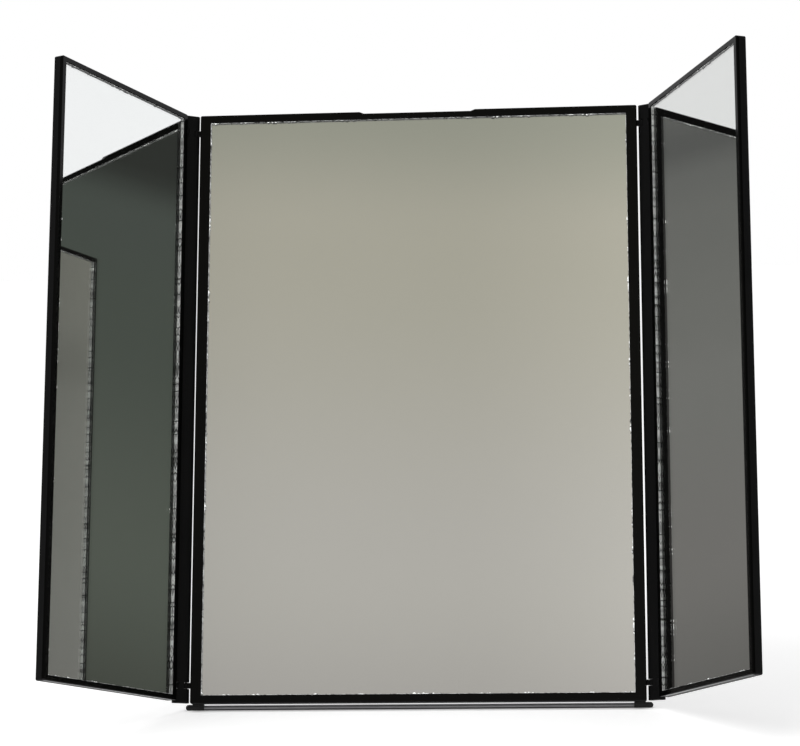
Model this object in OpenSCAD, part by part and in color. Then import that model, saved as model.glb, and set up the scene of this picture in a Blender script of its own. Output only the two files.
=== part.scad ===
// Folding table mirror with a centre panel and two wings on double hinges.
// The mirror leans back on a wire stand. Units are millimetres, +Z is up, and the origin
// is on the table, under the middle of the whole mirror's box.

/* [Centre panel] */
// Width of the centre panel
frame_w = 200; // [180:1:240]
// Height of the centre panel
frame_h = 270; // [230:1:320]
// Thickness of every panel
panel_t = 4.7; // [4.5:0.1:6]
// Width of the upright bars of the centre bezel
side_bar = 4.8; // [4:0.1:8]
// Width of the top and bottom bars of the centre bezel
end_bar = 3.6; // [3.2:0.1:7]
// Radius of the outer corners of every panel
corner_r = 0.8; // [0.4:0.1:1.5]
// Chamfer on the outer edges of the bezels and shells
edge_c = 0.4; // [0.2:0.1:0.6]
// Width of the finger notch in the top edge
notch_w = 51; // [20:1:80]
// Depth of the finger notch
notch_d = 0.8; // [0.4:0.1:1.2]
// How far the ends of the finger notch slope
notch_slope = 2; // [0.5:0.5:5]

/* [Glass and shells] */
// Thickness of the mirror glass
glass_t = 1.8; // [1.8:0.1:2.2]
// How far the glass lies below the front of its bezel
glass_recess = 0.4; // [0.3:0.1:0.8]
// Gap between the edge of the glass and its bezel
glass_gap = 0.15; // [0.1:0.05:0.3]
// Thickness of a bezel
bezel_t = 1.4; // [1.2:0.1:1.6]
// Thickness of the floor of a back shell
floor_t = 1.4; // [1.2:0.1:1.5]
// Depth of the sunk field on the back of a shell
field_d = 0.4; // [0.2:0.1:0.6]
// Width of the plain border round the sunk field
field_border = 9; // [6:1:16]
// Radius of the corners of the sunk field
field_r = 3; // [1:0.5:6]
// Width of a strip of mounting tape
tape_w = 12; // [8:1:20]

/* [Wings] */
// Gap between the two wings when they lie shut on the centre panel
wing_gap = 8; // [2:1:20]
// Width of the upright bars of a wing bezel
wing_side_bar = 2.7; // [2.4:0.1:6]
// Width of the top and bottom bars of a wing bezel
wing_end_bar = 2.4; // [2.2:0.1:6]
// How far the bottom of a wing is above the bottom of the centre panel
wing_lift = 1.2; // [0.5:0.1:4]
// How far the top of a wing is below the top of the centre panel
wing_drop = 0.2; // [0:0.1:3]
// Turn of the left wing from flat, as it stands open
left_fold = 65.6; // [30:0.1:85]
// Turn of the right wing from flat, as it stands open
right_fold = 67.5; // [30:0.1:85]

/* [Double hinges] */
// Turn of each link from flat, as the mirror stands open
link_fold = 26.3; // [10:0.1:60]
// Distance of a hinge pin from the panel that it carries
pin_reach = 2.2; // [2.2:0.1:3]
// Radius of the rounded edges of a link
link_r = 1.5; // [1.2:0.05:1.5]
// Gap between the faces of two panels that are folded shut
shut_gap = 0.2; // [0.1:0.05:0.5]
// Radius of a hinge pin
pin_r = 0.6; // [0.5:0.05:0.7]
// Distance of a hinge ear from the end of the centre panel
ear_inset = 6.9; // [5:0.1:12]
// Height of a hinge ear
ear_h = 2.4; // [2:0.1:4]
// Thickness of the arm of a hinge ear
ear_t = 1.8; // [1.4:0.1:2]
// Chamfer on the outer top corner of a link
link_c = 1.4; // [0.5:0.1:2]

/* [Stand] */
// Angle by which the mirror leans back
lean = 16; // [12:1:20]
// Height of the stand's pivot on the centre panel
pivot_z = 184; // [160:1:186]
// Distance of the stand's pivot behind the centre panel's back
pivot_out = 5.3; // [5:0.1:8]
// Angle between the panel and the stand at its stop
stand_swing = 30.6; // [26:0.1:36]
// Distance of each leg of the stand from the side of the centre panel
stand_inset = 12; // [10:0.5:25]
// Radius of the stand's wire
wire_r = 1.5; // [1:0.1:2]
// Radius of the bends in the wire, at its middle
bend_r = 5; // [4:0.5:10]
// Thickness of the rubber sleeves on the stand's cross bar
sleeve_t = 0.8; // [0.5:0.1:1.5]
// Length of a rubber sleeve
sleeve_len = 18; // [8:1:40]
// Width of a stand bracket
bracket_w = 9; // [7:0.5:12]
// Height of a stand bracket
bracket_h = 26; // [24:1:36]

/* [Feet] */
// Radius of the foot bar under the centre panel
bar_r = 1; // [0.9:0.1:1.2]
// Distance of the foot bar behind the centre panel's back
bar_out = 1.9; // [1.6:0.1:2.5]
// Distance of the middle of the foot bar below the centre panel
bar_drop = 1.2; // [1:0.1:1.6]
// Radius of a foot
foot_r = 1.3; // [1.3:0.05:1.6]
// Length of a foot
foot_len = 8.3; // [6:0.1:12]
// How far a foot reaches past the side of the centre panel
foot_over = 2.8; // [1.5:0.1:4]
// Height of the tab that holds a foot
tab_h = 8.5; // [7:0.5:12]
// Depth of the flat where a foot or a sleeve meets the table
flat_d = 0.25; // [0.1:0.05:0.4]

/* [Hidden] */
$fn = 48;

// Small play and steps that every piece shares
run_fit = 0.05;
press_fit = 0.01;
clip_gap = 0.1;
clear = 0.3;
eps = 0.01;

// Panels
wing_w = (frame_w - wing_gap) / 2;
wing_h = frame_h - wing_lift - wing_drop;
tape_t = panel_t - floor_t - glass_recess - glass_t;
clip_t = 0.7;
clip_in = 0.9;
clip_deep = 1.3;
clip_share = 0.13;
clip_place = 0.34;

// Hinge pins, in the centre panel's own frame
hinge_pitch = panel_t + shut_gap;
pin_y = panel_t / 2;
frame_pin_x = frame_w / 2 + pin_reach;
wing_pin_x = frame_pin_x + hinge_pitch * cos(link_fold);
wing_pin_y = pin_y - hinge_pitch * sin(link_fold);
knuckle_r = link_r - run_fit;
ear_room = 0.2;
notch_r = sqrt(link_r * link_r + ear_t * ear_t / 4) + ear_room;
link_lift = 0.4;
pin_grip = 4;
pin_sink = 0.6;
pin_head_r = 0.85;
pin_head_h = 0.6;
low_ear_z = ear_inset;
high_ear_z = frame_h - ear_inset - ear_h;

// Feet and foot bar
bar_y = panel_t + bar_out;
spigot_r = 0.6;
spigot_len = 4;
foot_end_x = frame_w / 2 + foot_over;
foot_start_x = foot_end_x - foot_len;
spigot_gap = 0.2;
tab_t = 1.6;
tab_w = 5;
foot_screw_z = tab_h - 3.2;
foot_screw_x = foot_start_x + tab_w / 2;
foot_screw_tip = bezel_t + 0.8;

// Where the leaning panel stands over the table
foot_drop = bar_y * sin(lean) + bar_drop * cos(lean);
foot_lift = foot_drop + foot_r - flat_d;
table_t = 20;
pivot_y = panel_t + pivot_out;
pivot_height = foot_lift - pivot_y * sin(lean) + pivot_z * cos(lean);
sleeve_r = wire_r + sleeve_t;
leg_tilt = stand_swing - lean;
stand_len = (pivot_height - sleeve_r + flat_d) / cos(leg_tilt);
stand_w = frame_w - 2 * stand_inset;
stub_end = 1;
bracket_x = stand_w / 2 - bend_r - bracket_w;
stub_start_x = bracket_x - stub_end;
sleeve_end_x = stand_w / 2 - bend_r - 1;
boss_wall = 1.8;
boss_r = wire_r + boss_wall;
plate_t = 2;
stop_t = 2;
stop_h = 6;
stop_top = -bend_r - 1;
stop_y = wire_r + clear;
gusset_wall = 0.9;
gusset_y = wire_r + gusset_wall;
screw_r = 0.9;
screw_head_r = 1.9;
screw_head_h = 1.2;
screw_inset = 3.4;
slot_w = 0.5;
slot_share = 0.6;

// Middle of the whole mirror's box, from the wing tips and the stand
tip_reach = pin_reach + wing_w;
left_tip_x = wing_pin_x + tip_reach * cos(left_fold) + pin_y * sin(left_fold);
right_tip_x = wing_pin_x + tip_reach * cos(right_fold) + pin_y * sin(right_fold);
tip_fold = max(left_fold, right_fold);
tip_y = wing_pin_y - tip_reach * sin(tip_fold) - pin_y * cos(tip_fold);
front_y = tip_y * cos(lean) + wing_lift * sin(lean);
pivot_back_y = pivot_y * cos(lean) + pivot_z * sin(lean);
back_y = pivot_back_y + stand_len * sin(leg_tilt) + sleeve_r;
shift_x = (left_tip_x - right_tip_x) / 2;
shift_y = -(front_y + back_y) / 2;

// Places

// The leaning centre panel, with its lower front edge on the frame's origin
module on_panel() {
  translate([shift_x, shift_y, foot_lift]) rotate([-lean, 0, 0]) children();
}

// The left half, drawn as a mirror image of the right half
module on_side(side) {
  if (side < 0) mirror([1, 0, 0]) children();
  else children();
}

// A link, with its frame pin on the Z axis and its wing pin along +X
module on_link(side) {
  on_panel() on_side(side)
    translate([frame_pin_x, pin_y, 0]) rotate([0, 0, -link_fold]) children();
}

// A wing, with its hinge edge on the Z axis, its front at Y = 0 and its width along +X
module on_wing(side, fold) {
  on_panel() on_side(side)
    translate([wing_pin_x, wing_pin_y, wing_lift])
      rotate([0, 0, -fold])
        translate([pin_reach, -pin_y, 0]) children();
}

// The stand, with its pivot on the X axis and its legs along -Z
module on_stand() {
  on_panel() translate([0, pivot_y, pivot_z]) rotate([stand_swing, 0, 0]) children();
}

// Shapes

// A flat outline in X and Z made solid from y0 to y1
module slab(y0, y1) {
  translate([0, y1, 0]) rotate([90, 0, 0]) linear_extrude(height = y1 - y0) children();
}

// A rectangle with round corners
module round_rect(x0, z0, x1, z1, r) {
  translate([x0 + r, z0]) square([x1 - x0 - 2 * r, z1 - z0]);
  translate([x0, z0 + r]) square([x1 - x0, z1 - z0 - 2 * r]);
  for (x = [x0 + r, x1 - r], z = [z0 + r, z1 - r]) translate([x, z]) circle(r = r);
}

// A rod along X
module x_rod(x0, x1, r) {
  translate([x0, 0, 0]) rotate([0, 90, 0]) cylinder(r = r, h = x1 - x0);
}

// A rod along Y
module y_rod(y0, y1, r) {
  translate([0, y0, 0]) rotate([-90, 0, 0]) cylinder(r = r, h = y1 - y0);
}

// Pieces of one panel; w and h are its size, sb and eb its upright and end bars

// Where the clips go round a panel: middle, length and place of each
module clip_row(w, h, t, deep) {
  for (s = [-1, 1]) {
    for (e = [0, 1]) {
      translate([w * (0.5 + s * clip_place), bezel_t, e == 0 ? clip_in : h - clip_in - t])
        translate([-w * clip_share / 2, -eps, 0]) cube([w * clip_share, deep + eps, t]);
    }
    for (e = [0, 1]) {
      translate([e == 0 ? clip_in : w - clip_in - t, bezel_t, h * (0.5 + s * clip_place)])
        translate([0, -eps, -h * clip_share / 2]) cube([t, deep + eps, h * clip_share]);
    }
  }
}

// The front bezel, with clips that reach into the shell
module bezel(w, h, sb, eb) {
  difference() {
    slab(0, bezel_t) round_rect(0, 0, w, h, corner_r);
    translate([sb, -1, eb]) cube([w - 2 * sb, bezel_t + 2, h - 2 * eb]);
    edge_chamfers(w, h, 0, -1);
  }
  clip_row(w, h, clip_t, clip_deep);
}

// Blocks that take the sharp corner off the outer edges at depth y, front (out = -1) or back (out = 1)
module edge_chamfers(w, h, y, out) {
  inside = edge_c / sqrt(2);
  block = 4 * edge_c;
  for (x = [0, w]) translate([x, y, -1]) rotate([0, 0, atan2(out, x == 0 ? -1 : 1)])
    translate([-inside, -block / 2, 0]) cube([block, block, h + 2]);
  for (z = [0, h]) translate([-1, y, z]) rotate([atan2(z == 0 ? -1 : 1, out), 0, 0])
    translate([0, -inside, -block / 2]) cube([w + 2, block, block]);
}

// The mirror glass
module glass(w, h, sb, eb) {
  translate([sb + glass_gap, glass_recess, eb + glass_gap])
    cube([w - 2 * sb - 2 * glass_gap, glass_t, h - 2 * eb - 2 * glass_gap]);
}

// Strips of mounting tape between the glass and the floor of the shell
module tape(w, h, sb, eb, count) {
  run = h - 2 * eb - 2 * field_border;
  for (i = [0 : count - 1])
    translate([w * (i + 0.5) / count - tape_w / 2, glass_recess + glass_t, eb + field_border])
      cube([tape_w, tape_t, run]);
}

// The back shell, a tray with pockets for the bezel's clips and a sunk field on its back
module shell(w, h, sb, eb) {
  border = field_border;
  difference() {
    slab(bezel_t, panel_t) round_rect(0, 0, w, h, corner_r);
    translate([sb, bezel_t - 1, eb]) cube([w - 2 * sb, panel_t - floor_t - bezel_t + 1, h - 2 * eb]);
    slab(panel_t - field_d, panel_t + 1) round_rect(border, border, w - border, h - border, field_r);
    clip_pockets(w, h);
    edge_chamfers(w, h, panel_t, 1);
  }
}

// Pockets for the clips, larger all round by the clip gap
module clip_pockets(w, h) {
  g = clip_gap;
  for (s = [-1, 1]) {
    for (z = [clip_in - g, h - clip_in - clip_t - g])
      translate([w * (0.5 + s * clip_place) - w * clip_share / 2 - g, bezel_t - 1, z])
        cube([w * clip_share + 2 * g, clip_deep + 1 + g, clip_t + 2 * g]);
    for (x = [clip_in - g, w - clip_in - clip_t - g])
      translate([x, bezel_t - 1, h * (0.5 + s * clip_place) - h * clip_share / 2 - g])
        cube([clip_t + 2 * g, clip_deep + 1 + g, h * clip_share + 2 * g]);
  }
}

// The finger notch, cut down from the top edge of the centre panel
module finger_notch() {
  translate([frame_w / 2, 0, frame_h])
    slab(-1, panel_t + 1)
      polygon([[(notch_slope - notch_w) / 2, -notch_d], [(notch_w - notch_slope) / 2, -notch_d],
               [(notch_w + notch_slope) / 2, notch_d], [-(notch_w + notch_slope) / 2, notch_d]]);
}

// A pair of ears whose pin is at X = 0, with arms that reach to the panel at X = reach
module ear_pair(reach, z_low, z_high) {
  for (z = [z_low, z_high]) translate([0, 0, z])
    difference() {
      union() {
        cylinder(r = knuckle_r, h = ear_h);
        translate([reach > 0 ? 0 : reach, -ear_t / 2, 0]) cube([abs(reach), ear_t, ear_h]);
      }
      translate([0, 0, -1]) cylinder(r = pin_r + run_fit, h = ear_h + 2);
    }
}

// Two pins on one axis, each with its head at the end of the link
module pin_pair() {
  low_end = link_lift + pin_sink;
  high_end = frame_h - pin_sink;
  high_start = high_ear_z - pin_grip;
  translate([0, 0, low_end]) cylinder(r = pin_r, h = low_ear_z + ear_h + pin_grip - low_end);
  translate([0, 0, low_end]) cylinder(r = pin_head_r, h = pin_head_h);
  translate([0, 0, high_start]) cylinder(r = pin_r, h = high_end - high_start);
  translate([0, 0, high_end - pin_head_h]) cylinder(r = pin_head_r, h = pin_head_h);
}

// The room that a pair of pins takes in a link
module pin_bores() {
  shaft_r = pin_r + press_fit;
  head_r = pin_head_r + press_fit;
  head_deep = pin_sink + pin_head_h;
  high_start = high_ear_z - pin_grip;
  translate([0, 0, link_lift - 1]) cylinder(r = shaft_r, h = low_ear_z + ear_h + pin_grip - link_lift + 1);
  translate([0, 0, high_start]) cylinder(r = shaft_r, h = frame_h - high_start + 1);
  translate([0, 0, link_lift - 1]) cylinder(r = head_r, h = head_deep + 1);
  translate([0, 0, frame_h - head_deep]) cylinder(r = head_r, h = head_deep + 1);
}

// The link, a narrow strip between the two pin axes, open where the ears enter it
module link() {
  difference() {
    union() {
      for (x = [0, hinge_pitch]) translate([x, 0, link_lift]) cylinder(r = link_r, h = frame_h - link_lift);
      translate([0, -link_r, link_lift]) cube([hinge_pitch, 2 * link_r, frame_h - link_lift]);
    }
    for (x = [0, hinge_pitch]) {
      translate([x, 0, 0]) pin_bores();
      for (z = [low_ear_z, high_ear_z])
        translate([x, 0, z - clear]) cylinder(r = notch_r, h = ear_h + 2 * clear);
    }
    translate([hinge_pitch + link_r, 0, frame_h]) rotate([0, 45, 0])
      translate([-link_c / sqrt(2), -link_r - 1, -link_c])
        cube([link_c * sqrt(2), 2 * link_r + 2, 2 * link_c]);
  }
}

// Pan head screw along +Y, its tip at y0 and the seat of its head at y1
module screw(y0, y1) {
  y_rod(y0, y1, screw_r);
  difference() {
    y_rod(y1, y1 + screw_head_h, screw_head_r);
    for (a = [0, 90]) rotate([0, a, 0])
      translate([-screw_head_r * slot_share, y1 + screw_head_h / 2, -slot_w / 2])
        cube([2 * screw_head_r * slot_share, screw_head_h, slot_w]);
  }
}

// Half of the stand's wire: stub, bend, leg, bend and half of the cross bar
module half_wire() {
  leg_x = stand_w / 2;
  x_rod(stub_start_x, leg_x - bend_r, wire_r);
  translate([leg_x - bend_r, 0, -bend_r]) rotate([90, 0, 0])
    rotate_extrude(angle = 90) translate([bend_r, 0]) circle(r = wire_r);
  translate([leg_x, 0, -stand_len + bend_r]) cylinder(r = wire_r, h = stand_len - 2 * bend_r);
  translate([leg_x - bend_r, 0, -stand_len + bend_r]) rotate([90, 90, 0])
    rotate_extrude(angle = 90) translate([bend_r, 0]) circle(r = wire_r);
  translate([0, 0, -stand_len]) x_rod(-eps, leg_x - bend_r, wire_r);
}

// The place of a bracket's upper (end = 1) or lower (end = -1) screw
module at_bracket_screw(end) {
  translate([bracket_x + bracket_w / 2, 0, pivot_z + end * (bracket_h / 2 - screw_inset)]) children();
}

// A bracket on the back of the centre panel: plate, boss with the pivot bore and a stop
module stand_bracket() {
  x1 = bracket_x + bracket_w;
  stop_x = stand_w / 2 + wire_r + clear;
  difference() {
    union() {
      translate([bracket_x, panel_t - field_d, pivot_z - bracket_h / 2])
        cube([bracket_w, plate_t + field_d, bracket_h]);
      translate([0, pivot_y, pivot_z]) x_rod(bracket_x, x1, boss_r);
      translate([bracket_x, panel_t, pivot_z - boss_r]) cube([bracket_w, pivot_out, 2 * boss_r]);
      translate([0, pivot_y, pivot_z]) rotate([stand_swing, 0, 0]) {
        translate([bracket_x, stop_y, stop_top - stop_h]) cube([stop_x - bracket_x, stop_t, stop_h]);
        translate([bracket_x, -gusset_y, stop_top - stop_h])
          cube([bracket_w - clear, gusset_y + stop_y + stop_t, gusset_y + stop_h - stop_top]);
      }
    }
    translate([0, pivot_y, pivot_z]) x_rod(bracket_x - 1, x1 + 1, wire_r + run_fit);
    for (end = [-1, 1]) at_bracket_screw(end) y_rod(panel_t - 1, panel_t + plate_t + 1, screw_r + clip_gap);
  }
}

// Bores for the bracket screws and the foot screws, in the centre panel's shell
module shell_screw_bores() {
  for (side = [-1, 1]) on_side(side) {
    for (end = [-1, 1]) at_bracket_screw(end) y_rod(panel_t - floor_t - 1, panel_t + 1, screw_r + press_fit);
    translate([foot_screw_x, 0, foot_screw_z])
      y_rod(foot_screw_tip - clip_gap, panel_t + 1, screw_r + press_fit);
  }
}

// A foot: round pad with a domed end on the foot bar, and a tab on the shell's back
module foot() {
  difference() {
    union() {
      translate([0, bar_y, -bar_drop]) {
        x_rod(foot_start_x, foot_end_x - foot_r, foot_r);
        translate([foot_end_x - foot_r, 0, 0]) sphere(r = foot_r);
      }
      translate([foot_start_x, panel_t, -bar_drop]) cube([tab_w, tab_t, tab_h + bar_drop]);
      translate([foot_start_x, panel_t, -bar_drop]) cube([tab_w, bar_out, foot_r]);
    }
    translate([0, bar_y, -bar_drop]) x_rod(foot_start_x - 1, foot_start_x + spigot_len, spigot_r + press_fit);
    translate([foot_screw_x, 0, foot_screw_z]) y_rod(panel_t - 1, panel_t + tab_t + 1, screw_r + clip_gap);
    table_cut();
  }
}

// Everything under the table's top, seen from the leaning panel
module table_cut() {
  rotate([lean, 0, 0]) translate([-frame_w, -frame_w, -foot_lift - table_t])
    cube([2 * frame_w, 2 * frame_w, table_t]);
}

// Nodes

module centre_bezel() {
  color([0.05, 0.05, 0.05]) on_panel() translate([-frame_w / 2, 0, 0])
    difference() {
      bezel(frame_w, frame_h, side_bar, end_bar);
      finger_notch();
    }
}

module centre_glass() {
  color([0.75, 0.75, 0.72]) on_panel() translate([-frame_w / 2, 0, 0])
    glass(frame_w, frame_h, side_bar, end_bar);
}

module centre_tape() {
  color([0.85, 0.85, 0.8]) on_panel() translate([-frame_w / 2, 0, 0])
    tape(frame_w, frame_h, side_bar, end_bar, 3);
}

module centre_shell() {
  color([0.07, 0.07, 0.07]) on_panel()
    difference() {
      union() {
        translate([-frame_w / 2, 0, 0])
          difference() {
            shell(frame_w, frame_h, side_bar, end_bar);
            finger_notch();
          }
        for (side = [-1, 1]) on_side(side)
          translate([frame_pin_x, pin_y, 0]) ear_pair(-pin_reach - eps, low_ear_z, high_ear_z);
      }
      shell_screw_bores();
    }
}

module wing_bezel(side, fold) {
  color([0.05, 0.05, 0.05]) on_wing(side, fold) bezel(wing_w, wing_h, wing_side_bar, wing_end_bar);
}

module wing_glass(side, fold) {
  color([0.7, 0.72, 0.7]) on_wing(side, fold) glass(wing_w, wing_h, wing_side_bar, wing_end_bar);
}

module wing_tape(side, fold) {
  color([0.85, 0.85, 0.8]) on_wing(side, fold) tape(wing_w, wing_h, wing_side_bar, wing_end_bar, 2);
}

module wing_shell(side, fold) {
  color([0.07, 0.07, 0.07]) on_wing(side, fold) {
    shell(wing_w, wing_h, wing_side_bar, wing_end_bar);
    translate([-pin_reach, pin_y, -wing_lift]) ear_pair(pin_reach + eps, low_ear_z, high_ear_z);
  }
}

module hinge_link(side) {
  color([0.06, 0.06, 0.06]) on_link(side) link();
}

module frame_pins(side) {
  color([0.7, 0.7, 0.72]) on_link(side) pin_pair();
}

module wing_pins(side) {
  color([0.7, 0.7, 0.72]) on_link(side) translate([hinge_pitch, 0, 0]) pin_pair();
}

module stand_wire() {
  color([0.75, 0.75, 0.77]) on_stand()
    for (side = [-1, 1]) on_side(side) half_wire();
}

module stand_sleeves() {
  color([0.1, 0.1, 0.1]) on_panel()
    difference() {
      translate([0, pivot_y, pivot_z]) rotate([stand_swing, 0, 0])
        for (side = [-1, 1]) on_side(side) translate([0, 0, -stand_len])
          difference() {
            x_rod(sleeve_end_x - sleeve_len, sleeve_end_x, sleeve_r);
            x_rod(0, stand_w / 2, wire_r + press_fit);
          }
      table_cut();
    }
}

module side_bracket(side) {
  color([0.08, 0.08, 0.08]) on_panel() on_side(side) stand_bracket();
}

module bracket_screws() {
  color([0.7, 0.7, 0.72]) on_panel()
    for (side = [-1, 1], end = [-1, 1])
      on_side(side) at_bracket_screw(end) screw(panel_t - floor_t + clip_gap, panel_t + plate_t);
}

module foot_bar() {
  color([0.72, 0.72, 0.74]) on_panel() translate([0, bar_y, -bar_drop]) {
    x_rod(-foot_start_x + eps, foot_start_x - eps, bar_r);
    x_rod(spigot_gap - foot_start_x - spigot_len, foot_start_x + spigot_len - spigot_gap, spigot_r);
  }
}

module side_foot(side) {
  color([0.09, 0.09, 0.09]) on_panel() on_side(side) foot();
}

module foot_screws() {
  color([0.7, 0.7, 0.72]) on_panel()
    for (side = [-1, 1]) translate([side * foot_screw_x, 0, foot_screw_z])
      screw(foot_screw_tip, panel_t + tab_t);
}

centre_bezel();
centre_glass();
centre_tape();
centre_shell();
wing_bezel(-1, left_fold);  // left_wing_bezel
wing_glass(-1, left_fold);  // left_wing_glass
wing_tape(-1, left_fold);  // left_wing_tape
wing_shell(-1, left_fold);  // left_wing_shell
wing_bezel(1, right_fold);  // right_wing_bezel
wing_glass(1, right_fold);  // right_wing_glass
wing_tape(1, right_fold);  // right_wing_tape
wing_shell(1, right_fold);  // right_wing_shell
hinge_link(-1);  // left_link
hinge_link(1);  // right_link
frame_pins(-1);  // left_frame_pins
wing_pins(-1);  // left_wing_pins
frame_pins(1);  // right_frame_pins
wing_pins(1);  // right_wing_pins
stand_wire();
stand_sleeves();
side_bracket(-1);  // left_stand_bracket
side_bracket(1);  // right_stand_bracket
bracket_screws();
foot_bar();
side_foot(-1);  // left_foot
side_foot(1);  // right_foot
foot_screws();
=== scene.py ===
# %% [markdown]
# A folding table mirror, dressed for a photograph
#
# The mirror has three panes of silvered glass. Each lies in a shallow black plastic tray with a
# thin glossy frame round it. Narrow links join the two wings to the middle, and a bent wire holds
# the mirror up. The CAD model gives every solid its place. This lesson gives each of them the
# surface, edges and finish that a camera sees.
#
# The first cell loads the CAD model as a fixed frame and keeps its box, because nothing that is
# made later may change the size of the object.

import math

import bmesh
import bpy
import numpy as np
from mathutils import Matrix, Vector


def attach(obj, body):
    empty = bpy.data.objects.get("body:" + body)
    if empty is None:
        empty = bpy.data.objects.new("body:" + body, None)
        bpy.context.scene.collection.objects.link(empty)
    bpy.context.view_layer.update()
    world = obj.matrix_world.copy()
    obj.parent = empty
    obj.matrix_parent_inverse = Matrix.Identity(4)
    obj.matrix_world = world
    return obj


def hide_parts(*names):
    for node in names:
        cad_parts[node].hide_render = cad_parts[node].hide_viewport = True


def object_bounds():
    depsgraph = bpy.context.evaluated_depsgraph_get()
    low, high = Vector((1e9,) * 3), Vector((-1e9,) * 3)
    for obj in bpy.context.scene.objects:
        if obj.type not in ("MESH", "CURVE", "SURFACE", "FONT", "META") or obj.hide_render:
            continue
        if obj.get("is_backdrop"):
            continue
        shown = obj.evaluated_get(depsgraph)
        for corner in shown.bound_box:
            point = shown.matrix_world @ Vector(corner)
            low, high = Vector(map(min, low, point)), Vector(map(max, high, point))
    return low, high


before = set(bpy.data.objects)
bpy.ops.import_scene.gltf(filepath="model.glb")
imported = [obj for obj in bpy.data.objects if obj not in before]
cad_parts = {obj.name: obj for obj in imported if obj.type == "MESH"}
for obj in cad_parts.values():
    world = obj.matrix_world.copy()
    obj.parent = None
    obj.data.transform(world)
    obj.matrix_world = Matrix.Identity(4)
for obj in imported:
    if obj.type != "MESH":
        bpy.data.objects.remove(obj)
cad_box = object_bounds()

# %% [markdown]
# The panels lean back and the wings are folded forward, so nothing stands square in the room.
# Every piece is therefore drawn in the frame of its own panel, in millimetres, with X across, Y
# back and Z up, and one matrix then puts it in its place. The left wing is the right wing seen in
# a looking glass, which is a matrix with a minus sign in X.

# %% Sizes in millimetres and the place of each panel
MM = 0.001
# The lean in degrees, and the place of the middle of the centre panel's lower front edge
LEAN = 16.0
SHIFT = (1.47817, -10.4627, 4.02272)
CENTRE_W, CENTRE_H = 200.0, 270.0
WING_W, WING_H = 96.0, 268.6
WING_LIFT = 1.2
PANEL_T, BEZEL_T, FLOOR_T = 4.7, 1.4, 1.4
# The pins lie at this depth and reach out from a panel's edge. The right wing's pin is at WING_PIN
PIN_Y, PIN_REACH = 2.35, 2.2
WING_PIN = (106.593, 0.178951)
FOLDS = {"left": 65.6, "right": 67.5}


def turned(axis, degrees):
    """Rotation matrix about one axis."""
    return Matrix.Rotation(math.radians(degrees), 4, axis)


def moved(x, y, z):
    """Translation matrix."""
    return Matrix.Translation((x, y, z))


ON_PANEL = moved(*SHIFT) @ turned("X", -LEAN)
CENTRE = ON_PANEL @ moved(-CENTRE_W / 2, 0, 0)
MIRRORED = Matrix.Diagonal((-1, 1, 1, 1))
SIDES = {"left": ON_PANEL @ MIRRORED, "right": ON_PANEL}
WINGS = {
    side: place @ moved(*WING_PIN, WING_LIFT) @ turned("Z", -FOLDS[side]) @ moved(PIN_REACH, -PIN_Y, 0)
    for side, place in SIDES.items()
}
corner = WINGS["right"] @ Vector((WING_W, 0, WING_H))
print("top outer corner of the right wing, mm:", [round(c, 1) for c in corner])

# %% [markdown]
# A surface here is a grid of points, which is a function of two parameters, or a list of closed
# rings one after another. The faces follow from the order of the points alone, so one small
# function joins any grid. Where a ring has to be closed with a lid, the lid is a single flat face.

# %% Joining points into a mesh piece
SMOOTH_ANGLE = math.radians(32)


def grid_faces(rows, cols, wrap_rows):
    """Quads between neighbours of a grid whose columns go round, and whose rows do if they wrap."""
    row, col = np.meshgrid(np.arange(rows if wrap_rows else rows - 1), np.arange(cols), indexing="ij")
    next_row, next_col = (row + 1) % rows, (col + 1) % cols
    quads = [row * cols + col, row * cols + next_col, next_row * cols + next_col, next_row * cols + col]
    return np.stack(quads, axis=-1).reshape(-1, 4).tolist()


def lofted(rings, wrap_rows=False):
    """Surface through rings of shape (rows, points, 3): sides of quads, and a flat lid on open ends."""
    rows, cols = rings.shape[:2]
    faces = grid_faces(rows, cols, wrap_rows)
    if not wrap_rows:
        faces += [list(range(cols))[::-1], list(range((rows - 1) * cols, rows * cols))]
    return rings.reshape(-1, 3), faces


def joined(*surfaces):
    """Several surfaces as one: each surface's face numbers go up by the points before it."""
    starts = np.cumsum([0] + [len(points) for points, _ in surfaces])
    numbered = zip([part for _, part in surfaces], starts.tolist())
    faces = [[i + start for i in face] for part, start in numbered for face in part]
    return np.concatenate([points for points, _ in surfaces]), faces


def outward(mesh):
    """Turns every closed surface of the mesh so that its faces point outwards."""
    work = bmesh.new()
    work.from_mesh(mesh)
    bmesh.ops.recalc_face_normals(work, faces=work.faces)
    work.to_mesh(mesh)
    work.free()


def finish_mesh(mesh):
    """Smooth shading, with edges kept sharp where the faces turn by more than the angle."""
    outward(mesh)
    mesh.shade_smooth()
    mesh.set_sharp_from_angle(angle=SMOOTH_ANGLE)


def added(name, data):
    """New object in the scene for a mesh, a camera or a lamp."""
    obj = bpy.data.objects.new(name, data)
    bpy.context.scene.collection.objects.link(obj)
    return obj


def finished(name, mesh, body, material, replaced):
    """Object of a mesh with its shading and material, its body, and the nodes it replaces."""
    finish_mesh(mesh)
    mesh.materials.append(material)
    obj = added(name, mesh)
    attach(obj, body)
    if replaced:
        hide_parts(*replaced)
    return obj


def piece(name, surface, place, body, material, replaced=()):
    """A new piece: points in millimetres go through the panel's matrix into metres in the mesh."""
    points, faces = surface
    matrix = np.array(place)
    world = (points @ matrix[:3, :3].T + matrix[:3, 3]) * MM
    mesh = bpy.data.meshes.new(name)
    mesh.from_pydata(world.tolist(), [], faces)
    return finished(name, mesh, body, material, replaced)


def new_nodes(name):
    """A new material with its nodes, links and Principled shader."""
    material = bpy.data.materials.new(name)
    material.use_nodes = True
    tree = material.node_tree
    return material, tree.nodes, tree.links, tree.nodes["Principled BSDF"]


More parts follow.
